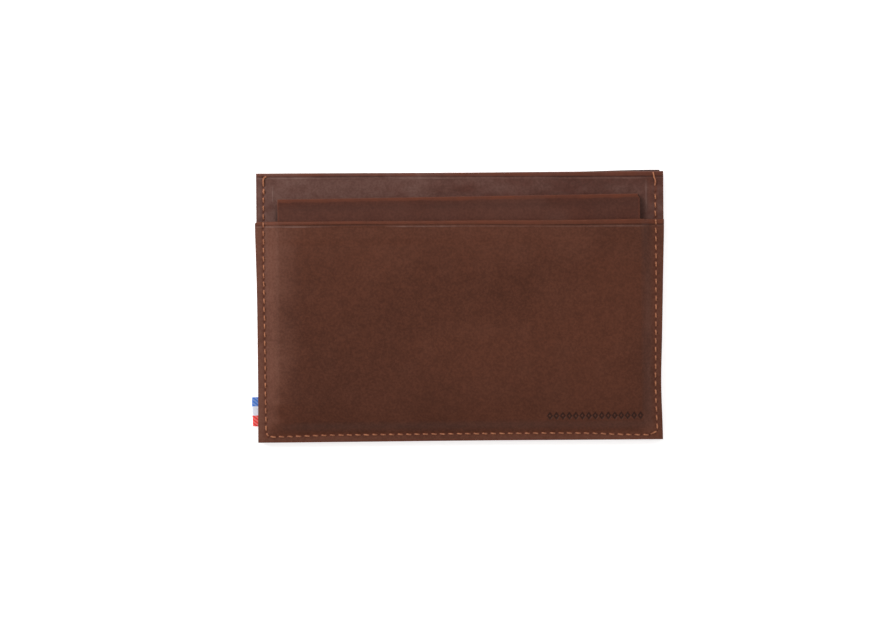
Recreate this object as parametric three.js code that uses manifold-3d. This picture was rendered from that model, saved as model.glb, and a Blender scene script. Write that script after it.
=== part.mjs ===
// A slim leather card holder, lying on its back.
//
// Three leather panels are sewn together along the sides and the bottom: a rear panel, a divider wall
// and a lower front panel. They make a rear pocket and a front pocket, both open at the top. A stiff
// card sleeve, itself two leather leaves on a U-shaped spacer, stands loose in the front pocket and
// slides out of it. A folded ribbon is caught in the left seam.
//
// Millimetres. +X runs across the width, +Y towards the pocket mouths, +Z up out of the front face.
// The origin is the centre of the back face.

import * as THREE from "three";
import { mergeVertices } from "three/addons/utils/BufferGeometryUtils.js";
import Module from "manifold-3d";

const wasm = await Module();
wasm.setup();

// ---------------------------------------------------------------- driving dimensions

const BODY_WIDTH = 105;
const BODY_HEIGHT = 69.5;
const CORNER_RADIUS = 0.7;
const WALL_DROP = 0.4; // the divider wall ends this far below the rear panel's top edge
const FRONT_HEIGHT = 56.75; // from the bottom edge to the front panel's mouth

const LEATHER = 0.9;
const LINING = 0.2;
const HEM_DEPTH = 4.7; // how far each top edge is turned back on itself
const HEM_RISE = 0.1; // how far the front panel's turned edge stands above the rest of it
const CREASE_INSET = 1.0; // from a turned edge to the line creased along it
const CREASE_WIDTH = 0.3;
const CREASE_DEPTH = 0.12;

const FILLER_THICKNESS = 0.6;
const SEAM_WIDTH = 3.0; // of the filler strip between the rear panel and the wall
const STITCH_INSET = 1.8; // from the sides
const STITCH_INSET_BOTTOM = 1.5;
const STITCH_TOP_INSET = 1.2; // the seam starts this far below the wall's top edge
const THREAD_WIDTH = 0.6;
const THREAD_HEIGHT = 0.35;
const THREAD_PROUD = 0.15; // of the needle thread above the leather
const GROOVE_CLEARANCE = 0.05;

const POCKET_DEPTH = 2.3; // front to back, of the room that the front panel is formed around
const POCKET_SIDE_CLEARANCE = 0.4; // beside the sleeve, at its widest
const POCKET_FLOOR_CLEARANCE = 0.3; // under the sleeve's lowest corner
const FORM_ROUND = 0.4; // radius of the pocket's own shoulder; the layers over it have larger ones
const FORM_CORNER = 1.2; // radius of its lower corners in plan

const SLEEVE_WIDTH = 93.6;
const SLEEVE_HEIGHT = 57.6;
const SLEEVE_LEAF = 0.6;
const SLEEVE_SLOT = 0.8; // takes a bank card, 0.76 thick
const SLEEVE_MARGIN = 3.0; // width of the spacer's legs: 87.6 is left for a card 85.6 wide
const SLEEVE_TILT = THREE.MathUtils.degToRad(0.57); // it stands a little askew
const SLEEVE_CENTRE_X = 0.2;
const SLEEVE_TOP_Y = 28.3; // at the middle of its top edge
const SLEEVE_GAP = 0.15; // between the wall and the sleeve

const RIBBON = 0.24;
const RIBBON_WIDTH = 7.6;
const RIBBON_REACH = 1.6; // out of the left edge
const RIBBON_CENTRE_Y = -27.1;
const RIBBON_GRIP = 2.25; // how far its ends are caught in the seam
const RIBBON_CLEARANCE = 0.1;

const ARC_STEPS = 4;

// ---------------------------------------------------------------- worked out from them

const SIDE_X = BODY_WIDTH / 2;
const TOP_Y = BODY_HEIGHT / 2;
const BOTTOM_Y = -TOP_Y;
const WALL_TOP_Y = TOP_Y - WALL_DROP;
const MOUTH_Y = BOTTOM_Y + FRONT_HEIGHT;

const WALL_BACK_Z = LEATHER + FILLER_THICKNESS;
const MOUTH_GAP = FILLER_THICKNESS - 2 * LINING; // between the rear panel's hem and the wall's hem
const WALL_FRONT_Z = WALL_BACK_Z + LEATHER;
const POCKET_TOP_Z = WALL_FRONT_Z + POCKET_DEPTH;
const SHELL = LINING + LEATHER; // lining and leather together
const HEM_SHELL = SHELL + HEM_RISE;

const SLEEVE_THICKNESS = 2 * SLEEVE_LEAF + SLEEVE_SLOT;
const SLEEVE_BACK_Z = WALL_FRONT_Z + SLEEVE_GAP;
const SLEEVE_CENTRE_Y = SLEEVE_TOP_Y - (SLEEVE_HEIGHT / 2) * Math.cos(SLEEVE_TILT);
const SLEEVE_REACH_X =
  (SLEEVE_WIDTH / 2) * Math.cos(SLEEVE_TILT) + (SLEEVE_HEIGHT / 2) * Math.sin(SLEEVE_TILT);
const SLEEVE_REACH_Y =
  (SLEEVE_HEIGHT / 2) * Math.cos(SLEEVE_TILT) + (SLEEVE_WIDTH / 2) * Math.sin(SLEEVE_TILT);
const POCKET_SIDE_X = SLEEVE_REACH_X + SLEEVE_CENTRE_X + POCKET_SIDE_CLEARANCE;
const POCKET_FLOOR_Y = SLEEVE_CENTRE_Y - SLEEVE_REACH_Y - POCKET_FLOOR_CLEARANCE;

const STITCH_X = SIDE_X - STITCH_INSET;
const STITCH_BOTTOM_Y = BOTTOM_Y + STITCH_INSET_BOTTOM;
const STITCH_TOP_Y = WALL_TOP_Y - STITCH_TOP_INSET;
const LINING_EDGE_X = SIDE_X - SEAM_WIDTH - RIBBON_CLEARANCE;
const LINING_BOTTOM_Y = BOTTOM_Y + SEAM_WIDTH + RIBBON_CLEARANCE;

const BELOW = 2; // how far a cutting body starts below the surface that it cuts
const FAR = 200;

// ---------------------------------------------------------------- solids

// A three.js geometry as a manifold-3d solid.
function solidOf(geometry) {
  geometry.deleteAttribute("normal");
  geometry.deleteAttribute("uv");
  const merged = mergeVertices(geometry, 1e-4);
  return new wasm.Manifold(
    new wasm.Mesh({
      numProp: 3,
      vertProperties: merged.attributes.position.array,
      triVerts: new Uint32Array(merged.index.array),
    }),
  );
}

// A manifold-3d solid as a named mesh.
function meshOf(name, solid, material) {
  const data = solid.getMesh();
  const geometry = new THREE.BufferGeometry();
  geometry.setAttribute("position", new THREE.BufferAttribute(data.vertProperties, 3));
  geometry.setIndex(new THREE.BufferAttribute(data.triVerts, 1));
  const flat = geometry.toNonIndexed();
  flat.computeVertexNormals();
  const mesh = new THREE.Mesh(flat, material);
  mesh.name = name;
  return mesh;
}

function box([x0, y0, z0], [x1, y1, z1]) {
  const geometry = new THREE.BoxGeometry(x1 - x0, y1 - y0, z1 - z0);
  geometry.translate((x0 + x1) / 2, (y0 + y1) / 2, (z0 + z1) / 2);
  return solidOf(geometry);
}

// A rectangle in plan with rounded corners.
function roundedRectangle(x0, y0, x1, y1, radius) {
  const shape = new THREE.Shape();
  shape.moveTo(x0 + radius, y0);
  shape.lineTo(x1 - radius, y0);
  shape.absarc(x1 - radius, y0 + radius, radius, -Math.PI / 2, 0);
  shape.absarc(x1 - radius, y1 - radius, radius, 0, Math.PI / 2);
  shape.absarc(x0 + radius, y1 - radius, radius, Math.PI / 2, Math.PI);
  shape.absarc(x0 + radius, y0 + radius, radius, Math.PI, 1.5 * Math.PI);
  return shape;
}

// A shape in plan, raised from one height to another.
function slab(shape, low, high) {
  const options = { depth: high - low, bevelEnabled: false, curveSegments: ARC_STEPS };
  const geometry = new THREE.ExtrudeGeometry(shape, options);
  geometry.translate(0, 0, low);
  return solidOf(geometry);
}

// A side view, drawn with Y to the right and Z up, carried across from one X to another.
function carriedAcross(shape, fromX, toX) {
  const options = { depth: toX - fromX, bevelEnabled: false, curveSegments: ARC_STEPS };
  const geometry = new THREE.ExtrudeGeometry(shape, options);
  const turn = new THREE.Matrix4().makeBasis(
    new THREE.Vector3(0, 1, 0),
    new THREE.Vector3(0, 0, 1),
    new THREE.Vector3(1, 0, 0),
  );
  geometry.applyMatrix4(turn);
  geometry.translate(fromX, 0, 0);
  return solidOf(geometry);
}

// ---------------------------------------------------------------- flat leather panels

// A flat panel of the body: leather from backZ to frontZ, with a round turned edge at topY. The turned
// edge is thicker on one side, where the lining stops at it.
function turnedPanel(topY, backZ, frontZ, hemBackZ, hemFrontZ) {
  const hemY = topY - HEM_DEPTH;
  const radius = (hemFrontZ - hemBackZ) / 2;
  const side = new THREE.Shape();
  side.moveTo(BOTTOM_Y, backZ);
  side.lineTo(hemY, backZ);
  side.lineTo(hemY, hemBackZ);
  side.absarc(topY - radius, hemBackZ + radius, radius, -Math.PI / 2, Math.PI / 2);
  side.lineTo(hemY, hemFrontZ);
  side.lineTo(hemY, frontZ);
  side.lineTo(BOTTOM_Y, frontZ);
  const outline = roundedRectangle(-SIDE_X, BOTTOM_Y, SIDE_X, topY, CORNER_RADIUS);
  return carriedAcross(side, -SIDE_X, SIDE_X).intersect(slab(outline, backZ - 1, frontZ + 1));
}

// A line creased across a flat panel's face, just below its turned edge.
function crease(topY, faceZ, inward) {
  const y = topY - CREASE_INSET;
  const floor = faceZ + inward * CREASE_DEPTH;
  const outside = faceZ - inward * BELOW;
  return box(
    [-FAR, y - CREASE_WIDTH / 2, Math.min(floor, outside)],
    [FAR, y + CREASE_WIDTH / 2, Math.max(floor, outside)],
  );
}

// The U of the seam: a leg up each side and a run along the bottom.
function seamU(width, topY, low, high) {
  const half = width / 2;
  const bottomY = STITCH_BOTTOM_Y - half;
  let u = box([-STITCH_X - half, bottomY, low], [STITCH_X + half, bottomY + width, high]);
  for (const x of [-STITCH_X, STITCH_X]) {
    u = u.add(box([x - half, bottomY, low], [x + half, topY, high]));
  }
  return u;
}

function backPanel() {
  const groove = seamU(
    THREAD_WIDTH + 2 * GROOVE_CLEARANCE,
    STITCH_TOP_Y + GROOVE_CLEARANCE,
    -BELOW,
    THREAD_HEIGHT + 2 * GROOVE_CLEARANCE,
  );
  return turnedPanel(TOP_Y, 0, LEATHER, 0, LEATHER + LINING)
    .subtract(groove)
    .subtract(crease(TOP_Y, 0, 1));
}

function dividerWall() {
  const hemBackZ = LEATHER + LINING + MOUTH_GAP;
  const half = THREAD_WIDTH / 2 + GROOVE_CLEARANCE;
  const floor = WALL_FRONT_Z + THREAD_PROUD - THREAD_HEIGHT - GROOVE_CLEARANCE;
  let wall = turnedPanel(WALL_TOP_Y, WALL_BACK_Z, WALL_FRONT_Z, hemBackZ, WALL_FRONT_Z);
  wall = wall.subtract(crease(WALL_TOP_Y, WALL_FRONT_Z, -1));
  for (const x of [-STITCH_X, STITCH_X]) {
    const topY = STITCH_TOP_Y + GROOVE_CLEARANCE;
    wall = wall.subtract(box([x - half, MOUTH_Y, floor], [x + half, topY, WALL_FRONT_Z + BELOW]));
  }
  return wall;
}

// ---------------------------------------------------------------- between the panels

function flatLining(low) {
  const hemY = WALL_TOP_Y - HEM_DEPTH - RIBBON_CLEARANCE;
  return box([-LINING_EDGE_X, LINING_BOTTOM_Y, low], [LINING_EDGE_X, hemY, low + LINING]);
}

// A strip along the sides and the bottom that gives the rear pocket its depth. It thins out between the
// two hems, and makes room for the ribbon's ends on the left.
function seamFiller() {
  const hemY = WALL_TOP_Y - HEM_DEPTH - RIBBON_CLEARANCE;
  const innerX = SIDE_X - SEAM_WIDTH;
  const thinLow = LEATHER + LINING;
  const thick = box([-FAR, -FAR, LEATHER], [FAR, hemY, WALL_BACK_Z]);
  const thin = box([-FAR, 0, thinLow], [FAR, WALL_TOP_Y - LEATHER, thinLow + MOUTH_GAP]);
  const outline = roundedRectangle(-SIDE_X, BOTTOM_Y, SIDE_X, TOP_Y, CORNER_RADIUS);
  const pocket = box([-innerX, BOTTOM_Y + SEAM_WIDTH, 0], [innerX, FAR, FAR]);
  const notchY = RIBBON_WIDTH / 2 + RIBBON_CLEARANCE;
  const notch = box(
    [-FAR, RIBBON_CENTRE_Y - notchY, 0],
    [-SIDE_X + RIBBON_GRIP + RIBBON_CLEARANCE, RIBBON_CENTRE_Y + notchY, FAR],
  );
  return thick.add(thin).intersect(slab(outline, 0, FAR)).subtract(pocket).subtract(notch);
}

// A woven ribbon folded in half, its fold outside the left edge and both ends caught in the seam.
function ribbonTab() {
  const gap = 0.02; // to the leather on each side
  const outer = FILLER_THICKNESS / 2 - gap;
  const inner = outer - RIBBON;
  const foldX = -SIDE_X - RIBBON_REACH + outer;
  const endX = -SIDE_X + RIBBON_GRIP;
  const middleZ = LEATHER + FILLER_THICKNESS / 2;
  const hairpin = new THREE.Shape();
  hairpin.moveTo(endX, middleZ + outer);
  hairpin.absarc(foldX, middleZ, outer, Math.PI / 2, 1.5 * Math.PI);
  hairpin.lineTo(endX, middleZ - outer);
  hairpin.lineTo(endX, middleZ - inner);
  hairpin.absarc(foldX, middleZ, inner, 1.5 * Math.PI, Math.PI / 2, true);
  hairpin.lineTo(endX, middleZ + inner);
  const options = { depth: RIBBON_WIDTH, bevelEnabled: false, curveSegments: 2 * ARC_STEPS };
  const geometry = new THREE.ExtrudeGeometry(hairpin, options);
  const turn = new THREE.Matrix4().makeBasis(
    new THREE.Vector3(1, 0, 0),
    new THREE.Vector3(0, 0, 1),
    new THREE.Vector3(0, -1, 0),
  );
  geometry.applyMatrix4(turn);
  geometry.translate(0, RIBBON_CENTRE_Y + RIBBON_WIDTH / 2, 0);
  return solidOf(geometry);
}

// ---------------------------------------------------------------- the front panel, formed over the sleeve

// Everything under a sheet that lies at a distance from the wall and from the pocket's room: flat along
// the seams, with a raised plateau that has rounded shoulders.
function formed(distance) {
  const round = FORM_ROUND + distance;
  const outline = roundedRectangle(-SIDE_X, BOTTOM_Y, SIDE_X, MOUTH_Y + BELOW, CORNER_RADIUS);
  const flange = slab(outline, WALL_FRONT_Z - BELOW, WALL_FRONT_Z + distance);
  const sideX = POCKET_SIDE_X + distance - round;
  const floorY = POCKET_FLOOR_Y - distance + round;
  const plan = roundedRectangle(-sideX, floorY, sideX, MOUTH_Y + 2 * BELOW, FORM_CORNER);
  const low = WALL_FRONT_Z - BELOW;
  const geometry = new THREE.ExtrudeGeometry(plan, {
    depth: POCKET_TOP_Z + distance - low - 2 * round,
    bevelThickness: round,
    bevelSize: round,
    bevelSegments: ARC_STEPS,
    curveSegments: ARC_STEPS,
  });
  geometry.translate(0, 0, low + round);
  return flange.add(solidOf(geometry));
}

// The sheet between two distances, from one Y to another.
function formedSheet(inner, outer, fromY, toY) {
  const band = box([-FAR, fromY, WALL_FRONT_Z - LEATHER], [FAR, toY, FAR]);
  return formed(outer).subtract(formed(inner)).intersect(band);
}

const FRONT_HEM_Y = MOUTH_Y - HEM_DEPTH;

function frontPanel() {
  const creaseY = MOUTH_Y - CREASE_INSET;
  const line = formedSheet(
    HEM_SHELL - CREASE_DEPTH,
    HEM_SHELL,
    creaseY - CREASE_WIDTH / 2,
    creaseY + CREASE_WIDTH / 2,
  );
  const groove = seamU(
    THREAD_WIDTH + 2 * GROOVE_CLEARANCE,
    FAR,
    WALL_FRONT_Z + SHELL + THREAD_PROUD - THREAD_HEIGHT - GROOVE_CLEARANCE,
    WALL_FRONT_Z + HEM_SHELL + BELOW,
  );
  const body = formedSheet(LINING, SHELL, -FAR, FRONT_HEM_Y);
  const hem = formedSheet(0, HEM_SHELL, FRONT_HEM_Y, MOUTH_Y);
  return body.add(hem).subtract(line).subtract(groove);
}

function frontLining() {
  return formedSheet(0, LINING, -FAR, FRONT_HEM_Y);
}

// ---------------------------------------------------------------- threads

// The thread on the front: it lies on the wall above the mouth, and climbs onto the front panel there.
function needleThread() {
  const half = THREAD_WIDTH / 2;
  const highTop = WALL_FRONT_Z + SHELL + THREAD_PROUD;
  const highLow = highTop - THREAD_HEIGHT;
  const lowTop = WALL_FRONT_Z + THREAD_PROUD;
  const lowLow = lowTop - THREAD_HEIGHT;
  const bottomY = STITCH_BOTTOM_Y - half;
  const climbY = MOUTH_Y + GROOVE_CLEARANCE;
  const side = new THREE.Shape();
  side.moveTo(bottomY, highLow);
  side.lineTo(climbY, highLow);
  side.lineTo(climbY, lowLow);
  side.lineTo(STITCH_TOP_Y, lowLow);
  side.lineTo(STITCH_TOP_Y, lowTop);
  side.lineTo(climbY + THREAD_WIDTH, lowTop);
  side.lineTo(climbY + THREAD_WIDTH, highTop);
  side.lineTo(bottomY, highTop);
  let thread = box([-STITCH_X, bottomY, highLow], [STITCH_X, bottomY + THREAD_WIDTH, highTop]);
  for (const x of [-STITCH_X, STITCH_X]) {
    thread = thread.add(carriedAcross(side, x - half, x + half));
  }
  return thread;
}

// The thread on the back, sunk in its groove so that the holder rests on leather.
function bobbinThread() {
  return seamU(THREAD_WIDTH, STITCH_TOP_Y, GROOVE_CLEARANCE, GROOVE_CLEARANCE + THREAD_HEIGHT);
}

// ---------------------------------------------------------------- the sleeve, drawn about its own centre

// A leaf of the sleeve, with a round top edge.
function sleeveLeaf(low) {
  const halfHeight = SLEEVE_HEIGHT / 2;
  const radius = SLEEVE_LEAF / 2;
  const side = new THREE.Shape();
  side.moveTo(-halfHeight, low);
  side.absarc(halfHeight - radius, low + radius, radius, -Math.PI / 2, Math.PI / 2);
  side.lineTo(-halfHeight, low + SLEEVE_LEAF);
  const halfWidth = SLEEVE_WIDTH / 2;
  const outline = roundedRectangle(-halfWidth, -halfHeight, halfWidth, halfHeight, CORNER_RADIUS);
  return carriedAcross(side, -halfWidth, halfWidth).intersect(
    slab(outline, low - 1, low + SLEEVE_LEAF + 1),
  );
}

function sleeveSpacer() {
  const halfHeight = SLEEVE_HEIGHT / 2;
  const halfWidth = SLEEVE_WIDTH / 2;
  const innerX = halfWidth - SLEEVE_MARGIN;
  const low = SLEEVE_LEAF;
  const outline = roundedRectangle(-halfWidth, -halfHeight, halfWidth, halfHeight, CORNER_RADIUS);
  const slot = box([-innerX, -halfHeight + SLEEVE_MARGIN, low - 1], [innerX, FAR, FAR]);
  const topTrim = box([-FAR, halfHeight - SLEEVE_LEAF / 2, low - 1], [FAR, FAR, FAR]);
  return slab(outline, low, low + SLEEVE_SLOT).subtract(slot).subtract(topTrim);
}

// ---------------------------------------------------------------- materials and the scene graph

function matte(color, roughness) {
  return new THREE.MeshStandardMaterial({ color, roughness, metalness: 0 });
}

const brownLeather = matte(0x563227, 0.5);
const wallLeather = matte(0x5c4139, 0.5);
const sleeveLeather = matte(0x5e382b, 0.5);
const fillerLeather = matte(0x4a2a20, 0.7);
const liningCloth = matte(0x33241f, 0.85);
const spacerBoard = matte(0x4b352b, 0.8);
const sewingThread = matte(0xaf7355, 0.7);
const wovenRibbon = matte(0xdfdfe8, 0.75);

const sewnBody = new THREE.Group();
sewnBody.add(
  meshOf("back_panel", backPanel(), brownLeather.clone()),
  meshOf("back_lining", flatLining(LEATHER), liningCloth.clone()),
  meshOf("seam_filler", seamFiller(), fillerLeather),
  meshOf("ribbon_tab", ribbonTab(), wovenRibbon),
  meshOf("divider_lining", flatLining(WALL_BACK_Z - LINING), liningCloth.clone()),
  meshOf("divider_wall", dividerWall(), wallLeather),
  meshOf("front_lining", frontLining(), liningCloth.clone()),
  meshOf("front_panel", frontPanel(), brownLeather.clone()),
  meshOf("needle_thread", needleThread(), sewingThread.clone()),
  meshOf("bobbin_thread", bobbinThread(), sewingThread.clone()),
);

const cardSleeve = new THREE.Group();
cardSleeve.add(
  meshOf("sleeve_rear_leaf", sleeveLeaf(0), sleeveLeather.clone()),
  meshOf("sleeve_spacer", sleeveSpacer(), spacerBoard),
  meshOf("sleeve_front_leaf", sleeveLeaf(SLEEVE_THICKNESS - SLEEVE_LEAF), sleeveLeather.clone()),
);
cardSleeve.position.set(SLEEVE_CENTRE_X, SLEEVE_CENTRE_Y, SLEEVE_BACK_Z);
cardSleeve.rotation.z = SLEEVE_TILT;

const wallet = new THREE.Group();
wallet.add(sewnBody, cardSleeve);

export default wallet;
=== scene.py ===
# A slim leather card holder: the looks, built round the imported CAD frame.
#
# Shapes are worked out in millimetres on fine grids and handed to Blender in metres. Each leather panel
# is one closed sheet with its own upper and lower face, round edges, creases, stitch holes and dents.
# Where a leather is worn, rubbed, waxed or dark, and where sheen, highlights and shade are painted on
# it, is a mask on its mesh, which its material reads.

import math

import bpy
import numpy as np
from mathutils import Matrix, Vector


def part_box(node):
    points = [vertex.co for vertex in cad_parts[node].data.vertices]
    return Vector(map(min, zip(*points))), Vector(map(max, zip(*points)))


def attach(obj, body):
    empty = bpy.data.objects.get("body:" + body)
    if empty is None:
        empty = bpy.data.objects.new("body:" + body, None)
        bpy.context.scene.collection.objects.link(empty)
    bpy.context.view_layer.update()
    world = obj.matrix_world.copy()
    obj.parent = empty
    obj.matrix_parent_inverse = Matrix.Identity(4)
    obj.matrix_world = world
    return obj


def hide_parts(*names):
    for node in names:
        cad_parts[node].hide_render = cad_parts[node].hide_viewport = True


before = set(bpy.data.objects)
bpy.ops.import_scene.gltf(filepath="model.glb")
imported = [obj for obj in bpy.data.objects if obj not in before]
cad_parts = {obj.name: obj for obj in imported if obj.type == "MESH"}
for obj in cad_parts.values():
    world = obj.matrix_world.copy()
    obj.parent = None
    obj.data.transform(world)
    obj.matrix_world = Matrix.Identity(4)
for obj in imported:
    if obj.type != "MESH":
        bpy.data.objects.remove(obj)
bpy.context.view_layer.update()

MM = 0.001


def mm_box(node):
    """The lowest and highest corner of a CAD node, in millimetres."""
    low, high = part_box(node)
    return [v / MM for v in low], [v / MM for v in high]


# ---------------------------------------------------------------- sizes, from the frame

back_low, back_high = mm_box("back_panel")
_, wall_high = mm_box("divider_wall")
_, front_high = mm_box("front_panel")
lining_low, lining_high = mm_box("back_lining")
needle_low, needle_high = mm_box("needle_thread")
leaf_low, leaf_high = mm_box("sleeve_front_leaf")
rear_leaf_low, _ = mm_box("sleeve_rear_leaf")
tab_low, tab_high = mm_box("ribbon_tab")
filler_low, filler_high = mm_box("seam_filler")

SIDE = back_high[0]
TOP = back_high[1]
BOTTOM = back_low[1]
WALL_TOP = wall_high[1]
MOUTH = front_high[1]

LEATHER = lining_low[2]
LINING = lining_high[2] - lining_low[2]
WALL_FACE = wall_high[2]
FLANGE = WALL_FACE + LINING + LEATHER
HEM_RISE = 0.1
PLATEAU = front_high[2] - HEM_RISE
HEM = 4.7
HEM_ROUND = 0.52  # just under half of a turned edge's thickness
CREASE = 1.0  # from a turned edge to the line pressed along it
LIP = 0.42  # from that line down to the lip below it
EDGE_ROUND = 0.12

THREAD = 0.44
CROWN = 0.18  # how high a stitch stands over the leather
SINK = 0.95  # how deep it goes down its holes
HALF_ROW = 0.3  # half the width of the CAD's run of thread
STITCH_X = needle_high[0] - HALF_ROW
STITCH_Y = needle_low[1] + HALF_ROW
STITCH_TOP = needle_high[1]
PITCH = 2.2
FILLER_WIDTH = 3.0
RIBBON_THICK = 0.24
MARKS_START, MARKS_END, MARKS_Y = 22.3, 47.4, -28.5  # the row of pressed marks on the front

# Grid lines lie close where a cut edge is rounded, and fairly close by the stitching and the slopes.
EDGE_BAND, EDGE_STEP = 0.16, 0.04
SEAM_BAND, SEAM_STEP = 1.2, 0.16
FLANK, FLANK_STEP = 46, 0.14
TURNED_BAND = 2.2


# ---------------------------------------------------------------- camera

def camera():
    """A long lens straight above the wallet, turned a little."""
    picture_width = 229.4  # across the frame at the wallet
    picture_middle = (-4.4, -1.0)
    distance = 620
    turn = -0.4  # degrees
    data = bpy.data.cameras.new("camera")
    data.sensor_width = 36
    data.lens = data.sensor_width * distance / picture_width
    data.clip_start, data.clip_end = 0.01, 20
    view = bpy.data.objects.new("camera", data)
    view.location = Vector((*picture_middle, distance + WALL_FACE)) * MM
    view.rotation_euler = (0, 0, math.radians(turn))
    bpy.context.collection.objects.link(view)
    bpy.context.scene.camera = view


camera()


# ---------------------------------------------------------------- small maths

def smooth(start, end, v):
    """0 before start, 1 after end, and an even S between."""
    t = np.clip((v - start) / (end - start), 0, 1)
    return t * t * (3 - 2 * t)


def hump(v, centre, width):
    """1 at the centre, falling off evenly to both sides."""
    return np.exp(-(((v - centre) / width) ** 2))


def clouds(x, y, size, seed):
    """Smooth noise from -1 to 1 with features of the given size."""
    values = np.random.default_rng(seed).uniform(-1, 1, (64, 64))
    u, v = x / size + 31.7, y / size + 29.3
    i, j = np.floor(u).astype(int), np.floor(v).astype(int)
    a, b = u - i, v - j
    a, b = a * a * (3 - 2 * a), b * b * (3 - 2 * b)
    i, j = i % 63, j % 63
    low = values[j, i] * (1 - a) + values[j, i + 1] * a
    high = values[j + 1, i] * (1 - a) + values[j + 1, i + 1] * a
    return low * (1 - b) + high * b


def wander(x, size, seed):
    """Smooth noise from -1 to 1 along x alone."""
    return clouds(x, 0 * x, size, seed)


def lines(*spans):
    """Grid lines over joined spans of (start, end, step)."""
    parts = [
        np.linspace(start, end, max(1, round((end - start) / step)), endpoint=False)
        for start, end, step in spans
    ]
    return np.concatenate([*parts, [spans[-1][1]]])


def round_off(distance, radius):
    """How far a face drops at a distance from an edge that is rounded to a radius."""
    d = np.clip(distance, 0, radius)
    return radius - np.sqrt(np.maximum(radius**2 - (radius - d) ** 2, 0))


# ---------------------------------------------------------------- the outline's small unevenness

def bowed(x, y, flare=0.0):
    """The edges outside the stitching aren't quite straight: the right one bows in below its middle."""
    right = 0.3 * smooth(-8, 12, y) - 0.4 * hump(y, -20, 10) + flare
    left = -0.1 - 0.12 * hump(y, -20, 16) + 0.12 * smooth(-2, 12, y) + flare
    outside = smooth(STITCH_X - 1.5, SIDE, np.abs(x))
    return x + outside * np.where(x > 0, right, -left)


def bottom_sag(x, y):
    """How far the bottom edge hangs below a straight line, most at its left end."""
    return (0.1 + 0.2 * (1 - smooth(-52, 10, x))) * (1 - smooth(BOTTOM, -25, y))


def body_shape(x, y):
    """Moves a grid over the flat body to where its leather lies."""
    dip = 0.12 * hump(x, 0, 30) * smooth(20, TOP, y)
    return bowed(x, y), y - dip - bottom_sag(x, y)


def front_shape(x, y):
    """The front flares a little towards its mouth, which waves, and its upper left corner is clipped."""
    flare = 0.28 * smooth(MOUTH - 16, MOUTH, y)
    wave = 0.08 * wander(x, 17, 5) + 0.08
    wave = wave + 0.12 * smooth(30, SIDE, x) + 0.12 * smooth(35, SIDE, -x)
    clipped = smooth(SIDE - 0.7, SIDE, -x) * smooth(MOUTH - 0.5, MOUTH, y)
    py = y + wave * smooth(MOUTH - 6, MOUTH, y) - bottom_sag(x, y)
    return bowed(x, y, flare) + 0.4 * clipped, py


def back_shape(x, y):
    """The back's upper right corner stands above the wall and inside it."""
    px, py = body_shape(x, y)
    peek = 0.36 * smooth(26, 50, x) * smooth(25, TOP, y)
    return px - 0.55 * smooth(STITCH_X, SIDE, x) * smooth(10, TOP, y), py + peek


def wall_shape(x, y):
    """The wall is a little wider at its upper right, and its top edge is higher than in the CAD."""
    px, py = body_shape(x, y)
    wider = 0.28 * smooth(STITCH_X - 1, SIDE, x) * smooth(MOUTH - 3, MOUTH, y)
    return px + wider, py + smooth(25, WALL_TOP, y) * (0.4 - 0.06 * smooth(12, SIDE, x))


# ---------------------------------------------------------------- meshes

def piece(name, mesh, body, node, material):
    """A piece that moves with a body and takes the place of a CAD node."""
    mesh.validate()
    made = bpy.data.objects.new(name, mesh)
    bpy.context.collection.objects.link(made)
    mesh.materials.append(material)
    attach(made, body)
    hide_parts(node)
    return made


def mesh_of(name, vertices, faces):
    """A smooth mesh from vertices in millimetres."""
    mesh = bpy.data.meshes.new(name)
    mesh.from_pydata((np.asarray(vertices) * MM).tolist(), [], faces)
    mesh.shade_smooth()
    return mesh


def put_mask(mesh, name, values):
    """Stores a value from 0 to 1 at each vertex, for the material to read."""
    layer = mesh.attributes.new(name, "FLOAT", "POINT")
    layer.data.foreach_set("value", np.asarray(values, dtype=np.float32).ravel())


def shell_faces(shape):
    """The faces of a closed shell whose vertices are the points of one grid, then those of a second grid
    below it."""
    count = shape[0] * shape[1]
    n = np.arange(count).reshape(shape)
    a, b, c, d = n[:-1, :-1], n[:-1, 1:], n[1:, 1:], n[1:, :-1]
    over = np.stack([a, b, c, d], -1).reshape(-1, 4)
    under = np.stack([a, d, c, b], -1).reshape(-1, 4) + count
    rim = np.concatenate([n[0, :-1], n[:-1, -1], n[-1, :0:-1], n[:0:-1, 0]])
    following = np.roll(rim, -1)
    sides = np.stack([rim + count, following + count, following, rim], -1)
    return np.concatenate([over, under, sides])


def closed_sheet(name, grid, face, shape, masks):
    """A sheet with an upper and a lower face over a grid of x and y. face(x, y) gives both heights, and
    shape(x, y) moves the grid sideways. masks are functions of x and y for the material, by name."""
    x, y = grid
    top, bottom = face(x, y)
    px, py = shape(x, y)
    upper = np.stack([px, py, top], -1).reshape(-1, 3)
    lower = np.stack([px, py, bottom], -1).reshape(-1, 3)
    mesh = mesh_of(name, np.concatenate([upper, lower]), shell_faces(x.shape).tolist())
    for mask, values in masks.items():
        put_mask(mesh, mask, np.tile(values(x, y).ravel(), 2))
    return mesh


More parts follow.
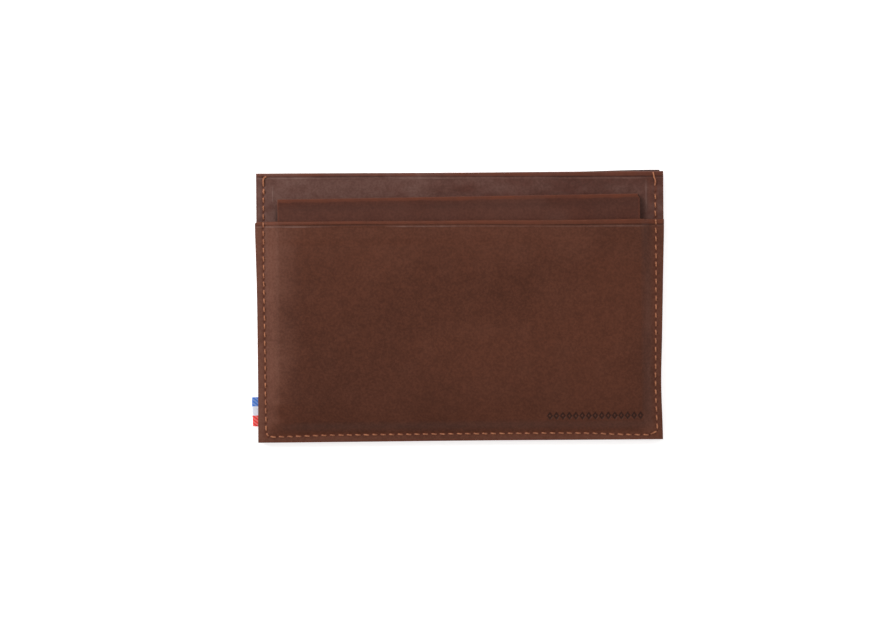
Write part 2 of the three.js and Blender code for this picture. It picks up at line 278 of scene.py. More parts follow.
def twisted_threads(name, paths):
    """Threads of twisted plies, one along each path. A path is its points and how deep each has sunk
    into the leather, where the thread is darkened with painted shade."""
    plies, lay, sides = 3, 1.1, 7
    ply_offset, ply_radius = 0.23 * THREAD, 0.28 * THREAD
    vertices, faces, depths = [], [], []
    for path, sunk in paths:
        along = np.gradient(path, axis=0)
        along /= np.linalg.norm(along, axis=1)[:, None]
        run = np.concatenate([[0], np.cumsum(np.linalg.norm(np.diff(path, axis=0), axis=1))])
        across = np.cross(along, [0, 0, 1.0])
        across /= np.linalg.norm(across, axis=1)[:, None]
        up = np.cross(across, along)
        for ply in range(plies):
            turn = 2 * math.pi * (ply / plies + run / lay)
            centre = path + ply_offset * (
                np.cos(turn)[:, None] * across + np.sin(turn)[:, None] * up
            )
            start = len(vertices)
            for k in range(len(path)):
                for side in range(sides):
                    around = 2 * math.pi * side / sides
                    out = math.cos(around) * across[k] + math.sin(around) * up[k]
                    vertices.append(centre[k] + ply_radius * out)
                    depths.append(sunk[k])
            for k in range(len(path) - 1):
                for side in range(sides):
                    i = start + k * sides + side
                    j = start + k * sides + (side + 1) % sides
                    faces.append([i, i + sides, j + sides, j])
            end = start + (len(path) - 1) * sides
            faces.append(list(range(start, start + sides)))
            faces.append(list(range(end + sides - 1, end - 1, -1)))
    mesh = mesh_of(name, vertices, faces)
    put_mask(mesh, "dark", smooth(0.02, 0.3, np.array(depths)))
    return mesh


# ---------------------------------------------------------------- the seam

def bottom_drift(x):
    """How far the bottom stitching strays: up along its middle, and down at the right."""
    middle = smooth(-49, -31, x) * (1 - smooth(26, 46, x))
    return 0.3 * middle - 0.3 * smooth(32, 49, x)


def side_drift(x, y):
    """How far the side rows of stitching stray to the right, most at their lower ends."""
    left = 0.12 + 0.18 * (1 - smooth(-20, 8, y)) + 0.15 * (1 - smooth(-31, -21, y))
    right = 0.1 + 0.2 * (1 - smooth(-33, -22, y))
    return np.where(x < 0, left, right)


def seam_holes():
    """The needle's holes, from the top left down, along the bottom and up to the top right. The seam
    cuts each lower corner with one slanting stitch."""
    left_cut, right_cut = (1.15, 1.05), (1.6, 0.75)

    def row(start, end):
        return np.linspace(start, end, round(abs(end - start) / PITCH) + 1)

    def upright(x, start, end):
        y = row(start, end)
        return np.stack([x + side_drift(x, y), y], -1)

    left = upright(-STITCH_X, STITCH_TOP + 0.15, STITCH_Y + left_cut[1])
    x = row(-STITCH_X + left_cut[0], STITCH_X - right_cut[0])
    bottom = np.stack([x, STITCH_Y + bottom_drift(x)], -1)
    right = upright(STITCH_X, STITCH_Y + right_cut[1], STITCH_TOP - 4)
    return np.concatenate([left, bottom, right])


HOLES = seam_holes()


def seam_distance(x, y):
    """The distance from the stitching's U."""
    x = x - side_drift(x, y)
    y = y - STITCH_Y - bottom_drift(x)
    side = np.hypot(np.abs(x) - STITCH_X, np.minimum(y, 0))
    bottom = np.hypot(np.maximum(np.abs(x) - STITCH_X, 0), y)
    return np.minimum(side, bottom)


def punched(x, y, radius):
    """1 at the stitch holes and 0 away from them."""
    mark = np.zeros_like(x)
    xs, ys = x[0], y[:, 0]
    for hx, hy in HOLES:
        i0, i1 = np.searchsorted(xs, (hx - 3 * radius, hx + 3 * radius))
        j0, j1 = np.searchsorted(ys, (hy - 3 * radius, hy + 3 * radius))
        near = np.s_[j0:j1, i0:i1]
        found = np.exp(-((x[near] - hx) ** 2 + (y[near] - hy) ** 2) / radius**2)
        mark[near] = np.maximum(mark[near], found)
    return mark


def seam_dent(x, y):
    """How far the stitches pull the leather down."""
    return 0.06 * hump(seam_distance(x, y), 0, 0.5) + 0.12 * punched(x, y, 0.32)


def seam_level(y):
    """The height of the leather under the front stitches."""
    on_panel = FLANGE + HEM_RISE * smooth(MOUTH - HEM - 1, MOUTH - HEM, y)
    return WALL_FACE + (on_panel - WALL_FACE) * (1 - smooth(MOUTH - 0.1, MOUTH + 0.35, y))


def back_level(y):
    """The height of the hollow that holds the back's stitches, so that the wallet lies flat."""
    return 0 * y + 0.44


def stitch(start, end, level, side, crown, aside, sink=SINK):
    """A stitch's path and how deep it is sunk. It comes up out of its hole from the depth of sink,
    slants across the row and goes down into the next hole."""
    slant = 0.12
    s = np.linspace(0, 1, 17)
    dx, dy = end - start
    length = math.hypot(dx, dy)
    lean = slant * (1 - 2 * s)
    x = start[0] + dx * s + lean * dy / length + aside
    y = start[1] + dy * s + lean * dx / length
    lift = (sink + crown) * np.sin(math.pi * s) - sink
    px, py = body_shape(x, y)
    return np.stack([px, py, level(y) + side * lift], -1), np.maximum(-lift, 0)


def seam_stitches(level, side):
    """All stitches of one face. The one that cuts the lower right corner sinks less and shows more."""
    rng = np.random.default_rng(3)
    made = []
    for start, end in zip(HOLES[:-1], HOLES[1:]):
        crown, aside = CROWN + rng.uniform(-0.04, 0.04), rng.uniform(-0.04, 0.04)
        slanting = start[0] > 0 and min(np.abs(end - start)) > 0.4
        sink = 0.4 if slanting else SINK
        made.append(stitch(start, end, level, side, crown, aside, sink))
    return made


def through(points):
    """A smooth path through points, with even steps between each two."""
    steps = 6
    padded = np.concatenate([[2 * points[0] - points[1]], points, [2 * points[-1] - points[-2]]])
    path = []
    for a, b, c, d in zip(padded, padded[1:], padded[2:], padded[3:]):
        for t in np.linspace(0, 1, steps, endpoint=False):
            path.append(
                b + 0.5 * t * (c - a + t * (2 * a - 5 * b + 4 * c - d + t * (3 * (b - c) + d - a)))
            )
    return np.array([*path, points[-1]])


def loose_thread(hole, offsets):
    """A thread that lies on the wall. Its points are offsets from a hole, and heights over the wall."""
    points = np.array([(hole[0] + dx, hole[1] + dy, WALL_FACE + dz) for dx, dy, dz in offsets])
    path = through(points)
    return path, np.maximum(WALL_FACE - path[:, 2], 0)


def seam_ends():
    """The seam's two ends: at the left it is sewn over twice, and at the right its last thread lies
    loose up to the wall's edge."""
    tail = [(0.72, 0.55, -0.2), (0.5, 0.46, 0.16), (0.12, 0.16, 0.3), (-0.02, -0.4, 0.34),
            (0.0, -1.4, 0.3), (0.05, -1.95, -0.2)]
    loose = [(-0.36, 5.2, 0.1), (-0.26, 4.6, 0.22), (-0.08, 3.8, 0.2), (0.16, 3.1, 0.24),
             (0.22, 2.6, 0.22), (0.14, 2.1, 0.16), (0.05, 1.6, -0.4)]
    again = stitch(HOLES[1], HOLES[2], seam_level, 1, 0.3, 0.1)
    return [loose_thread(HOLES[0], tail), again, loose_thread(HOLES[-1], loose)]


# ---------------------------------------------------------------- leather panels

def side_lines(middle):
    """Grid lines across the body: close at the edges and the seams, and as given between them."""
    return lines(
        (-SIDE, -SIDE + EDGE_BAND, EDGE_STEP),
        (-SIDE + EDGE_BAND, -STITCH_X + SEAM_BAND, SEAM_STEP),
        (-STITCH_X + SEAM_BAND, -FLANK, FLANK_STEP),
        *middle,
        (FLANK, STITCH_X - SEAM_BAND, FLANK_STEP),
        (STITCH_X - SEAM_BAND, SIDE - EDGE_BAND, SEAM_STEP),
        (SIDE - EDGE_BAND, SIDE, EDGE_STEP),
    )


def length_lines(end, middle):
    """Grid lines up the body, from the bottom edge to a turned edge."""
    return lines(
        (BOTTOM, BOTTOM + EDGE_BAND, EDGE_STEP),
        (BOTTOM + EDGE_BAND, STITCH_Y + SEAM_BAND, SEAM_STEP),
        *middle,
        (end - TURNED_BAND, end - 0.8, 0.1),
        (end - 0.8, end, 0.07),
    )


def edge_distance(x, y):
    """The distance from the cut edges at the sides and the bottom."""
    return np.minimum(SIDE - np.abs(x), y - BOTTOM)


def panel_drop(x, y, end):
    """How far a panel's face drops at its cut edges and at its turned edge."""
    cut = round_off(edge_distance(x, y), EDGE_ROUND)
    return np.maximum(cut, round_off(end - y, HEM_ROUND))


def crease_at(x, edge):
    """How high up the body the line along a turned edge runs. It strays from the edge at the right."""
    return edge - CREASE - 0.35 * smooth(-20, 45, x)


def creased(x, y, edge):
    """The line pressed along a turned edge: a groove with a slight lip below it, stronger here and
    weaker there."""
    depth = 0.09 + 0.05 * wander(x, 13, 51)
    line = crease_at(x, edge)
    return depth * hump(y, line, 0.14) - 0.06 * hump(y, line - LIP, 0.17)


def rubbed_edges(x, y, edge):
    """Where handling has brought out the red: turned edges, the rims of cut ones, and the stitching."""
    patchy = 0.66 + 0.3 * clouds(x, y, 2.7, 52)
    line = crease_at(x, edge)
    bead = smooth(line, line + 0.3, y) * patchy
    rim = 0.7 * (1 - smooth(0.05, 0.5, edge_distance(x, y))) * patchy
    thread_bed = 0.65 * hump(seam_distance(x, y), 0, 0.3) + 0.35 * punched(x, y, 0.35)
    return np.maximum(np.maximum(bead, rim), thread_bed)


def painted_line_shade(x, y, edge):
    """Where shade is painted dark into the leather: in the groove of the line along a turned edge, and
    in the stitch holes.
    """
    groove = (0.42 + 0.25 * wander(x, 9, 53)) * hump(y, crease_at(x, edge), 0.17)
    return np.clip(np.maximum(groove, 0.5 * punched(x, y, 0.3)), 0, 1)


def painted_lip_highlight(x, y, edge):
    """The broken pale line of painted highlight on the lip under a crease."""
    broken = smooth(-0.6, 0.6, wander(x, 15, 54)) * (0.8 + 0.2 * wander(x, 1.7, 55))
    return hump(y, crease_at(x, edge) - LIP, 0.15) * broken * (1 - 0.8 * smooth(45.5, 48.5, x))


def front_raise(x, y):
    """How far up the front panel lies over the sleeve: 0 at the seams and 1 on the plateau. It climbs
    steeply beside the sleeve's edge and gently over it."""
    floor = leaf_low[1]
    left = 0.76 * smooth(-50.5, -46.4, x) + 0.24 * smooth(-48.5, -40, x)
    right = 0.78 * smooth(-50.3, -46.6, -x) + 0.22 * smooth(-48.5, -42, -x)
    lower = 0.78 * smooth(-32.8, floor + 0.5, y) + 0.22 * smooth(-32, floor + 6, y)
    return left * right * lower


def under_raise(x, y):
    """How far up the front's underside lies over the sleeve, whose edges it clears."""
    return (
        smooth(-48.3, -47.1, x)
        * smooth(-48.3, -47.4, -x)
        * smooth(leaf_low[1] - 1.4, leaf_low[1] - 0.1, y)
    )


def mark_row(x, y):
    """A plain row of small pressed lozenges at the lower right."""
    count, height = 15, 2.2
    step = (MARKS_END - MARKS_START) / count
    at = (x - MARKS_START) / step
    place = np.floor(at)
    off_x = np.abs(at - place - 0.5) * step
    off_y = np.abs(y - MARKS_Y)
    inside = 1 - (off_x / (0.48 * step) + off_y / (height / 2))
    hollow = 1 - (off_x / (0.18 * step) + off_y / (0.18 * height))
    within = (place >= 0) & (place < count)
    return np.where(within, smooth(-0.06, 0.12, inside) * (1 - smooth(-0.1, 0.1, hollow)), 0)


def front_face(x, y):
    """The front panel's two faces: flat along the seams and formed up over the sleeve."""
    hem = smooth(MOUTH - HEM - 1.6, MOUTH - HEM + 0.3, y)
    over = FLANGE + (PLATEAU - FLANGE) * front_raise(x, y) + HEM_RISE * hem
    over += 0.05 * clouds(x, y, 14, 1) * smooth(0.2, 0.9, front_raise(x, y))
    over += 0.01 * clouds(x, y, 2.3, 2)
    over -= creased(x, y, MOUTH) + seam_dent(x, y) + 0.13 * mark_row(x, y)
    under = WALL_FACE + LINING * (1 - hem) + (PLATEAU - FLANGE) * under_raise(x, y)
    drop = panel_drop(x, y, MOUTH)
    middle = (over + under) / 2
    return np.maximum(over - drop, middle + 0.01), np.minimum(under + drop, middle - 0.01)


def front_wear_and_sheen(x, y):
    """The front's paler parts: a painted sheen on its left margin and flank, a painted light that pales
    it towards its mouth, its other margins and one lower corner.
    """
    reach = -41 - 4 * (1 - smooth(-30, -8, y))
    streaked = x + 1.3 * clouds(x, y, 9, 6) + 0.9 * clouds(0.3 * x, y, 1.6, 8)
    left = 0.88 - 0.88 * smooth(-51.5, reach, streaked)
    right = 0.36 * smooth(47.8, 49.4, x + 0.6 * clouds(x, y, 4, 9))
    low = 0.42 * (1 - smooth(STITCH_Y - 0.6, STITCH_Y + 1, y))
    top = 0.14 * smooth(MOUTH - 16, MOUTH - 2, y + 2 * clouds(0.4 * x, y, 6, 10))
    corner = 0.65 * hump(np.hypot(x - 49, y + 31.3), 0, 2.2)
    most = np.maximum.reduce([left, right, low, top, corner])
    return np.clip(most + 0.08 * clouds(x, y, 5, 7), 0, 1)


def front_dark(x, y):
    """Painted shade in the lines and stitch holes, the pressed marks, and a painted shade that makes the
    lower part of the front a little darker.
    """
    shade = 0.13 * (1 - smooth(-32, -6, y)) * smooth(-48, -38, x) * smooth(STITCH_Y, -30.5, y)
    return np.maximum.reduce([painted_line_shade(x, y, MOUTH), 0.8 * mark_row(x, y), shade])


def front_lining_face(x, y):
    """The lining follows the underside of the front panel."""
    gap = 0.02
    over = front_face(x, y)[1] - gap
    return over, over - LINING + 2 * gap


def wall_face(x, y):
    """The wall's two faces. Its turned edge is thicker by the lining that ends below it."""
    over = WALL_FACE + 0.05 * clouds(x, y, 9, 11) + 0.02 * clouds(x, y, 3.1, 12)
    over += 0.08 * wall_ridges(x, y) - creased(x, y, WALL_TOP) - seam_dent(x, y)
    hem = smooth(WALL_TOP - HEM, WALL_TOP - HEM + 0.2, y)
    under = WALL_FACE - LEATHER - LINING * hem
    drop = panel_drop(x, y, WALL_TOP)
    return over - drop, under + np.minimum(drop, HEM_ROUND)


def wall_ridges(x, y):
    """The faint upright ridges that cards have pressed into the wall, above the front panel's mouth."""
    left = 1.3 * hump(x, -48.15, 0.14) * smooth(26.5, 28, y) * (1 - smooth(30, 31.5, y))
    right = hump(x, 48.6, 0.17) + 0.2 * hump(x, 49.4, 0.17)
    length = smooth(MOUTH + 1, MOUTH + 4, y) * (1 - smooth(WALL_TOP - 4, WALL_TOP - 1.5, y))
    return left + right * length


def wall_painted_sheen(x, y):
    """A painted sheen: the wall is palest at its left, with streaks."""
    left = 0.5 * (1 - smooth(-50, 25, x)) + 0.22
    streaks = 0.3 * clouds(0.35 * x, y, 2.2, 13) + 0.2 * clouds(x, 0.6 * y, 6, 14)
    fine = 0.17 * clouds(0.7 * x + 0.5 * y, y - 0.3 * x, 1.2, 15)
    return np.clip(left + streaks + fine, 0, 1)


def wall_highlights_and_wax(x, y):
    """Painted highlights on the lip under the turned edge and on the ridges, and waxy streaks up the
    left margin.
    """
    margin = 0.5 * hump(x, -51.75, 0.22) * smooth(-0.4, 0.8, clouds(x, y, 2.6, 56)) * smooth(22, 24, y)
    return np.maximum.reduce([painted_lip_highlight(x, y, WALL_TOP), 0.6 * wall_ridges(x, y), margin])


def wall_rub(x, y):
    """As on the other panels, and between the ridges and the right seam, where cards rub."""
    strip = 0.35 * hump(x, 49.6, 0.6) * smooth(MOUTH + 1, MOUTH + 4, y) * (1 - smooth(32, 33.5, y))
    return np.maximum(rubbed_edges(x, y, WALL_TOP), strip)


def wall_dark(x, y):
    """As on the other panels, and a painted shadow beside the sleeve."""
    painted_shadow = 0.5 * hump(x, leaf_low[0] - 0.3, 0.5) * (1 - smooth(MOUTH + 1.5, MOUTH + 5, y))
    return np.maximum(painted_line_shade(x, y, WALL_TOP), painted_shadow)


def back_face(x, y):
    """The back's two faces. Its outside is hollowed along the seam, where the stitches are sunk."""
    over = LEATHER + LINING * smooth(TOP - HEM, TOP - HEM + 0.2, y)
    under = 0.34 * hump(seam_distance(x, y), 0, 0.42) + 0.1 * punched(x, y, 0.3)
    under = under + 0.08 * hump(y, TOP - CREASE, 0.16) + 0.012 + 0.012 * clouds(x, y, 2.3, 22)
    drop = panel_drop(x, y, TOP)
    return over - drop, np.minimum(under + drop, over - drop - 0.03)


def back_dark(x, y):
    """As on the other panels, and in the shade where the back's edge stands above the wall's."""
    shade = 0.75 * smooth(24, 34, x) * smooth(TOP - 0.5, TOP - 0.3, y)
    return np.maximum(painted_line_shade(x, y, TOP), shade)


def back_worn(x, y):
    """The back is palest round its cut edges."""
    rim = 0.35 * (1 - smooth(0.5, 5, edge_distance(x, y)))
    return np.clip(rim + 0.2 + 0.3 * clouds(x, y, 11, 23), 0, 1)


# ---------------------------------------------------------------- the sleeve's leaves

SLEEVE_TILT = math.radians(0.57)


def leaf_size():
    """A leaf's own width and height, from the box round it as it stands tilted."""
    c, s = math.cos(SLEEVE_TILT), math.sin(SLEEVE_TILT)
    across, up = leaf_high[0] - leaf_low[0], leaf_high[1] - leaf_low[1]
    return (across * c - up * s) / (c * c - s * s), (up * c - across * s) / (c * c - s * s)


LEAF_WIDTH, LEAF_HEIGHT = leaf_size()
LEAF_THICK = leaf_high[2] - leaf_low[2]


def leaf_inside(x, y):
    """The distance from a leaf's cut edges."""
    return np.minimum(LEAF_WIDTH / 2 - np.abs(x), y + LEAF_HEIGHT / 2)


def leaf_face(low, outward):
    """The faces of a leaf whose lower face is at a height. Its turned edge stands proud outwards."""
    def face(x, y):
        edge = LEAF_HEIGHT / 2
        roll = 0.07 * smooth(edge - 1.5, edge - 0.7, y) - 0.04 * hump(y, edge - 2.1, 0.9)
        proud = roll + 0.01 * clouds(x, y, 2.3, 31) + 0.03 * clouds(x, y, 12, 32)
        over = low + LEAF_THICK + max(outward, 0) * proud
        under = low - max(-outward, 0) * proud
        drop = np.maximum(round_off(leaf_inside(x, y), EDGE_ROUND), round_off(edge - y, 0.26))
        return over - drop, under + drop
    return face


def leaf_shape(x, y):
    """Turns a leaf about its own centre into its place, with its upper right corner clipped."""
    half_w, half_h = LEAF_WIDTH / 2, LEAF_HEIGHT / 2
    corner = smooth(half_w - 0.8, half_w, x) * smooth(half_h - 1.3, half_h, y)
    x = x - 0.45 * corner
    y = y - 0.4 * corner * smooth(half_w - 0.8, half_w, x)
    cx, cy = (leaf_low[0] + leaf_high[0]) / 2, (leaf_low[1] + leaf_high[1]) / 2
    c, s = math.cos(SLEEVE_TILT), math.sin(SLEEVE_TILT)
    return cx + c * x - s * y, cy + s * x + c * y


def leaf_rub(x, y):
    """A leaf is rubbed red along its turned edge and on the rims of its cut ones."""
    edge = LEAF_HEIGHT / 2
    strong = 0.75 + 0.25 * clouds(x, y, 4, 35)
    bead = strong * smooth(edge - 1.2, edge - 0.6, y + 0.2 * clouds(x, y, 2.5, 33))
    rim = 0.9 * (1 - smooth(0.08, 0.36, leaf_inside(x, y)))
    return np.maximum(bead, rim)


def leaf_dark(x, y):
    """A soft dark line of painted shade under the turned edge."""
    below = LEAF_HEIGHT / 2 - y
    return 0.26 * hump(below, 2.3, 0.9) * (0.7 + 0.3 * clouds(x, y, 7, 34))


def leaf_worn(x, y):
    """A leaf is slightly and unevenly worn all over."""
    return np.clip(0.12 + 0.45 * clouds(x, y, 6, 36) * smooth(-1, 1, clouds(x, y, 17, 37)), 0, 1)


# ---------------------------------------------------------------- materials

class Nodes:
    """A material's node tree, with short calls for the nodes that are used here."""

    def __init__(self, name):
        self.material = bpy.data.materials.new(name)
        self.material.use_nodes = True
        self.tree = self.material.node_tree
        self.shader = self.tree.nodes["Principled BSDF"]
        self.object = self.add("ShaderNodeTexCoord").outputs["Object"]

    def add(self, kind, **settings):
        node = self.tree.nodes.new(kind)
        for key, value in settings.items():
            setattr(node, key, value)
        return node

    def put(self, value, socket):
        if isinstance(value, bpy.types.NodeSocket):
            self.tree.links.new(value, socket)
        else:
            socket.default_value = value

    def mask(self, name):
        return self.add("ShaderNodeAttribute", attribute_name=name).outputs["Fac"]

    def stretched(self, scale):
        """Object coordinates, scaled along each axis."""
        node = self.add("ShaderNodeMapping")
        self.put(self.object, node.inputs["Vector"])
        node.inputs["Scale"].default_value = scale
        return node.outputs["Vector"]

    def noise(self, size_mm, detail=2.0, roughness=0.5, distortion=0.0):
        node = self.add("ShaderNodeTexNoise")
        self.put(self.object, node.inputs["Vector"])
        node.inputs["Scale"].default_value = 1 / (size_mm * MM)
        node.inputs["Detail"].default_value = detail
        node.inputs["Roughness"].default_value = roughness
        node.inputs["Distortion"].default_value = distortion
        return node.outputs["Fac"]

    def cells(self, size_mm, feature="F1"):
        node = self.add("ShaderNodeTexVoronoi", feature=feature)
        self.put(self.object, node.inputs["Vector"])
        node.inputs["Scale"].default_value = 1 / (size_mm * MM)
        return node.outputs["Distance"]

    def math(self, operation, *values):
        node = self.add("ShaderNodeMath", operation=operation)
        for value, socket in zip(values, node.inputs):
            self.put(value, socket)
        return node.outputs[0]

    def ramp(self, value, low, high, to_low=0.0, to_high=1.0):
        """A value carried smoothly from one range to another."""
        node = self.add("ShaderNodeMapRange", interpolation_type="SMOOTHSTEP")
        for v, socket in zip((value, low, high, to_low, to_high), node.inputs):
            self.put(v, socket)
        return node.outputs["Result"]

    def mix(self, factor, a, b):
        node = self.add("ShaderNodeMix", data_type="RGBA")
        self.put(factor, node.inputs["Factor"])
        self.put(a, node.inputs["A"])
        self.put(b, node.inputs["B"])
        return node.outputs["Result"]

    def bump(self, height, distance_mm, strength, normal=None):
        node = self.add("ShaderNodeBump")
        node.inputs["Strength"].default_value = strength
        node.inputs["Distance"].default_value = distance_mm * MM
        self.put(height, node.inputs["Height"])
        if normal:
            self.put(normal, node.inputs["Normal"])
        return node.outputs["Normal"]

    def finish(self, color, roughness, normal=None, **constants):
        self.put(color, self.shader.inputs["Base Color"])
        self.put(roughness, self.shader.inputs["Roughness"])
        if normal:
            self.put(normal, self.shader.inputs["Normal"])
        for key, value in constants.items():
            self.shader.inputs[key.replace("_", " ")].default_value = value
        return self.material


def srgb(red, green, blue):
    """A colour given as it looks on a screen, as the linear light that Blender works in."""
    def linear(v):
        v /= 255
        return v / 12.92 if v <= 0.04045 else ((v + 0.055) / 1.055) ** 2.4
    return (linear(red), linear(green), linear(blue), 1.0)


RUBBED = srgb(101, 53, 36)
PRESSED_AND_SHADE = srgb(37, 19, 13)
# A pale grey for painted highlights and waxy streaks.
HIGHLIGHT_AND_WAX = srgb(118, 90, 82)


def leather(name, main, deep, worn, roughness=0.52):
    """Smooth waxed leather: cloudy colour, fine grain with pores, paler and greyer where its waxed
    finish is worn and where sheen is painted, pale grey where highlights are painted, redder where it is
    rubbed, and nearly black where it is pressed and where shade is painted."""
    n = Nodes(name)
    broad = n.ramp(n.noise(26, detail=1.5, roughness=0.5), 0.32, 0.7)
    mottle = n.ramp(n.noise(2.2, detail=3, roughness=0.6, distortion=0.3), 0.3, 0.72)
    speck = n.ramp(n.noise(0.55, detail=3, roughness=0.6), 0.34, 0.68)
    tone = n.math("ADD", n.math("MULTIPLY", broad, 0.32), n.math("MULTIPLY", mottle, 0.24))
    tone = n.math("ADD", tone, n.math("MULTIPLY", speck, 0.44))
    color = n.mix(tone, deep, main)
    # The worn mask pales both real wear and painted sheen.
    wear = n.math("MULTIPLY", n.mask("worn"), n.ramp(tone, 0.1, 0.9, 0.6, 1.2))
    color = n.mix(wear, color, worn)
    # Pale grey where highlights are painted on lips and ridges, and on waxy streaks.
    color = n.mix(n.math("MULTIPLY", n.mask("wax_and_highlights"), n.ramp(mottle, 0, 1, 0.5, 1)), color, HIGHLIGHT_AND_WAX)
    rub = n.math("MULTIPLY", n.mask("rub"), n.ramp(mottle, 0.0, 1.0, 0.75, 1.0))
    color = n.mix(rub, color, RUBBED)
    # Nearly black in pressed marks and where shade is painted.
    color = n.mix(n.mask("dark"), color, PRESSED_AND_SHADE)
    pores = n.ramp(n.cells(0.42), 0.0, 0.35)
    creases = n.ramp(n.cells(0.75, "DISTANCE_TO_EDGE"), 0.0, 0.14)
    grain = n.math("ADD", n.math("MULTIPLY", pores, 0.6), n.math("MULTIPLY", creases, 0.4))
    normal = n.bump(grain, 0.02, 0.45)
    normal = n.bump(n.noise(1.6, detail=4, roughness=0.6), 0.02, 0.3, normal)
    gloss = n.ramp(speck, 0.0, 1.0, roughness + 0.025, roughness - 0.025)
    return n.finish(color, gloss, normal, Specular_IOR_Level=0.15)


def cloth(name, main, deep, thread_mm, roughness=0.85):
    """A thin plain weave, from two crossed sets of bands."""
    n = Nodes(name)
    bands = 3.2  # how many a wave texture of scale 1 has in a metre
    waves = []
    for direction in ("X", "Y"):
        wave = n.add("ShaderNodeTexWave", bands_direction=direction)
        n.put(n.object, wave.inputs["Vector"])
        wave.inputs["Scale"].default_value = 1 / (thread_mm * MM) / bands
        waves.append(wave.outputs["Fac"])
    weave = n.math("MAXIMUM", *waves)
    color = n.mix(n.math("MULTIPLY", weave, n.ramp(n.noise(2), 0.2, 0.8, 0.7, 1)), deep, main)
    return n.finish(color, roughness, n.bump(weave, 0.04, 0.6), Specular_IOR_Level=0.2)


def thread_material():
    """Waxed thread: fibres along its plies, and a painted shade where it goes down into the leather."""
    n = Nodes("waxed_thread")
    lengthways = n.ramp(n.noise(0.5, detail=3), 0.3, 0.7)
    color = n.mix(lengthways, srgb(146, 88, 60), srgb(184, 120, 85))
    color = n.mix(n.mask("dark"), color, srgb(84, 42, 28))
    normal = n.bump(n.noise(0.12, detail=2), 0.03, 0.5)
    return n.finish(color, 0.6, normal, Specular_IOR_Level=0.25, Sheen_Weight=0.1)


def ribbon_material():
    """Three woven stripes in a fine slanting twill."""
    n = Nodes("striped_ribbon")
    place = n.add("ShaderNodeSeparateXYZ")
    n.put(n.object, place.inputs[0])
    y = n.math("ADD", place.outputs["Y"], n.math("MULTIPLY", n.noise(0.3), 0.08 * MM))
    low, high = tab_low[1] * MM, tab_high[1] * MM
    third = (high - low) / 3
    soft = 0.06 * MM
    red_top, blue_bottom = low + third + 0.34 * MM, high - third + 0.2 * MM
    white_above = n.ramp(y, red_top - soft, red_top + soft)
    blue_above = n.ramp(y, blue_bottom - soft, blue_bottom + soft)
    color = n.mix(white_above, srgb(243, 52, 44), srgb(228, 232, 245))
    color = n.mix(blue_above, color, srgb(58, 118, 206))
    twill = n.add("ShaderNodeTexWave", bands_direction="DIAGONAL")
    n.put(n.stretched((1.0, 1.4, 0.2)), twill.inputs["Vector"])
    twill.inputs["Scale"].default_value = 480
    twill.inputs["Distortion"].default_value = 1.5
    shade = n.ramp(twill.outputs["Fac"], 0.2, 0.8)
    pale = n.mix(0.4, color, (1, 1, 1, 1))
    color = n.mix(n.math("MULTIPLY", shade, 0.42), color, pale)
    return n.finish(color, 0.7, n.bump(shade, 0.05, 0.7), Specular_IOR_Level=0.2, Sheen_Weight=0.3)


# The body's worn colour serves both real wear and the painted sheen on the front's left flank.
body_leather = leather("body_leather", srgb(93, 51, 35), srgb(69, 35, 22), srgb(108, 68, 54))
# The wall's leather is greyer than the body's, and its worn colour greyer still: a painted sheen.
wall_leather = leather("wall_leather", srgb(94, 56, 47), srgb(73, 43, 35), srgb(107, 77, 69), 0.5)
sleeve_leather = leather("sleeve_leather", srgb(90, 51, 39), srgb(71, 38, 29), srgb(95, 62, 52))
skived_leather = leather("skived_leather", srgb(72, 40, 29), srgb(52, 29, 21), srgb(84, 52, 41), 0.7)
board = leather("bonded_board", srgb(80, 54, 42), srgb(58, 39, 30), srgb(96, 68, 54), 0.75)
lining_cloth = cloth("lining_cloth", srgb(58, 39, 32), srgb(28, 18, 15), 0.25)
thread = thread_material()
ribbon = ribbon_material()

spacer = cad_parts["sleeve_spacer"].data
spacer.materials.clear()
spacer.materials.append(board)


# ---------------------------------------------------------------- the sewn body

def leather_panel(name, node, material, across, up, face, shape, masks):
    """A panel of the sewn body, on grid lines across it and up it."""
    mesh = closed_sheet(name, np.meshgrid(across, up), face, shape, masks)
    piece(name, mesh, "wallet", node, material)


leather_panel(
    "front_panel_leather", "front_panel", body_leather,
    side_lines([(-FLANK, MARKS_START - 0.3, 0.32), (MARKS_START - 0.3, FLANK, 0.12)]),
    length_lines(MOUTH, [
        (STITCH_Y + SEAM_BAND, MARKS_Y - 1.3, 0.25),
        (MARKS_Y - 1.3, MARKS_Y + 1.3, 0.12),
        (MARKS_Y + 1.3, MOUTH - TURNED_BAND, 0.3),
    ]),
    front_face,
    front_shape,
    {
        "rub": lambda x, y: rubbed_edges(x, y, MOUTH),
        "dark": front_dark,
        "worn": front_wear_and_sheen,
        "wax_and_highlights": lambda x, y: painted_lip_highlight(x, y, MOUTH),
    },
)
leather_panel(
    "divider_wall_leather", "divider_wall", wall_leather,
    side_lines([(-FLANK, FLANK, 0.5)]),
    length_lines(WALL_TOP, [
        (STITCH_Y + SEAM_BAND, MOUTH - 2, 1.0),
        (MOUTH - 2, WALL_TOP - TURNED_BAND, 0.27),
    ]),
    wall_face,
    wall_shape,
    {
        "rub": wall_rub,
        "dark": wall_dark,
        "worn": wall_painted_sheen,
        "wax_and_highlights": wall_highlights_and_wax,
    },
)
leather_panel(
    "back_panel_leather", "back_panel", body_leather,
    side_lines([(-FLANK, FLANK, 0.32)]),
    length_lines(TOP, [(STITCH_Y + SEAM_BAND, TOP - TURNED_BAND, 0.3)]),
    back_face,
    back_shape,
    {
        "rub": lambda x, y: rubbed_edges(x, y, TOP),
        "dark": back_dark,
        "worn": back_worn,
    },
)


